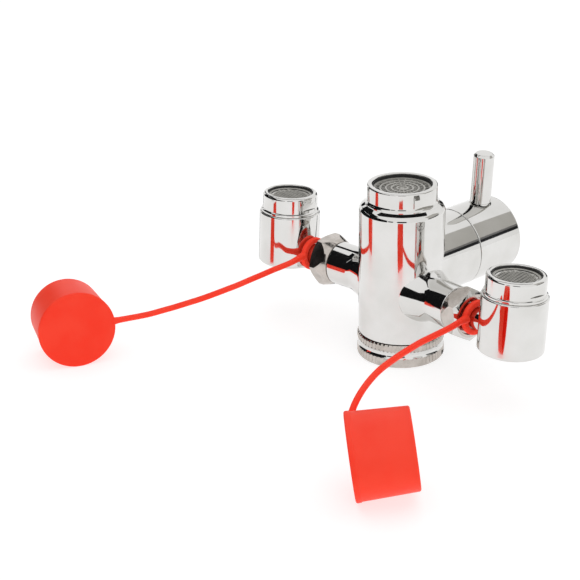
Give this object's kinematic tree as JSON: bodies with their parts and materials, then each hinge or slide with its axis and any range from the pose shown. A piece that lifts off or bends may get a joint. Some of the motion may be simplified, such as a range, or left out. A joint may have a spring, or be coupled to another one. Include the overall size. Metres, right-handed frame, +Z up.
{
  "type": "eyewash station",
  "caption": "Faucet-mounted eyewash: chrome column on a knurled swivel nut, aerated outlet on top, two turning spray heads on arms, rear diverter lever and two red tethered dust caps.",
  "frame": {"origin": "centre of the inlet nut's foot, where the faucet spout enters", "axes": "+Z up the column, +X towards the right spray head, +Y towards the diverter lever"},
  "size_m": [0.1727, 0.1486, 0.0643],
  "materials": {
    "chrome": "polished",
    "satin_chrome": "satin",
    "spring_steel": "plain",
    "brass": "machined",
    "ceramic": "lapped",
    "white_plastic": "moulded",
    "grey_plastic": "moulded",
    "black_rubber": "matte",
    "red_silicone": "smooth silicone"
  },
  "bodies": {
    "body": {"main_body": "chrome", "inlet_clip": "spring_steel", "inlet_washer": "black_rubber", "inlet_screen": "spring_steel", "outlet_housing": "chrome", "outlet_insert": "grey_plastic", "outlet_screen": "spring_steel", "outlet_washer": "black_rubber", "cartridge_gasket": "black_rubber", "fixed_disc": "ceramic", "cartridge_housing": "white_plastic", "retaining_nut": "brass", "left_union_nut": "satin_chrome", "left_stem_seal": "black_rubber", "right_union_nut": "satin_chrome", "right_stem_seal": "black_rubber"},
    "inlet_nut": {"inlet_nut": "satin_chrome"},
    "lever": {"moving_disc": "ceramic", "spindle": "brass", "spindle_seal": "black_rubber", "lever_cap": "chrome", "lever_rod": "chrome", "grub_screw": "spring_steel"},
    "left_head": {"left_stem": "chrome", "left_head_cup": "chrome", "left_head_housing": "chrome", "left_head_washer": "black_rubber", "left_head_screen": "grey_plastic", "left_head_insert": "white_plastic"},
    "right_head": {"right_stem": "chrome", "right_head_cup": "chrome", "right_head_housing": "chrome", "right_head_washer": "black_rubber", "right_head_screen": "grey_plastic", "right_head_insert": "white_plastic"},
    "left_tether": {"left_tether_ring": "red_silicone", "left_tether_strap": "red_silicone", "left_dust_cap": "red_silicone"},
    "right_tether": {"right_tether_ring": "red_silicone", "right_tether_strap": "red_silicone", "right_dust_cap": "red_silicone"}
  },
  "joints": [
    {"name": "inlet_nut_turn", "type": "hinge", "parent": "body", "child": "inlet_nut", "pos_m": [0, 0, 0.004], "axis": [0, 0, 1], "continuous": true},
    {"name": "lever_turn", "type": "hinge", "parent": "body", "child": "lever", "pos_m": [0, 0.0388, 0.0318], "axis": [0, 1, 0], "range_deg": [-3.7, 86.3]},
    {"name": "left_head_turn", "type": "hinge", "parent": "body", "child": "left_head", "pos_m": [-0.04257, -0.00328, 0.0255], "axis": [-0.9971, -0.0767, 0], "continuous": true},
    {"name": "right_head_turn", "type": "hinge", "parent": "body", "child": "right_head", "pos_m": [0.04257, -0.00328, 0.0255], "axis": [-0.9971, 0.0767, 0], "continuous": true},
    {"name": "left_tether_swing", "type": "hinge", "parent": "body", "child": "left_tether", "pos_m": [-0.04128, -0.00318, 0.0255], "axis": [-0.9971, -0.0767, 0], "range_deg": [0, 180]},
    {"name": "right_tether_swing", "type": "hinge", "parent": "body", "child": "right_tether", "pos_m": [0.03709, -0.00285, 0.0255], "axis": [-0.9971, 0.0767, 0], "range_deg": [0, 180]}
  ]
}
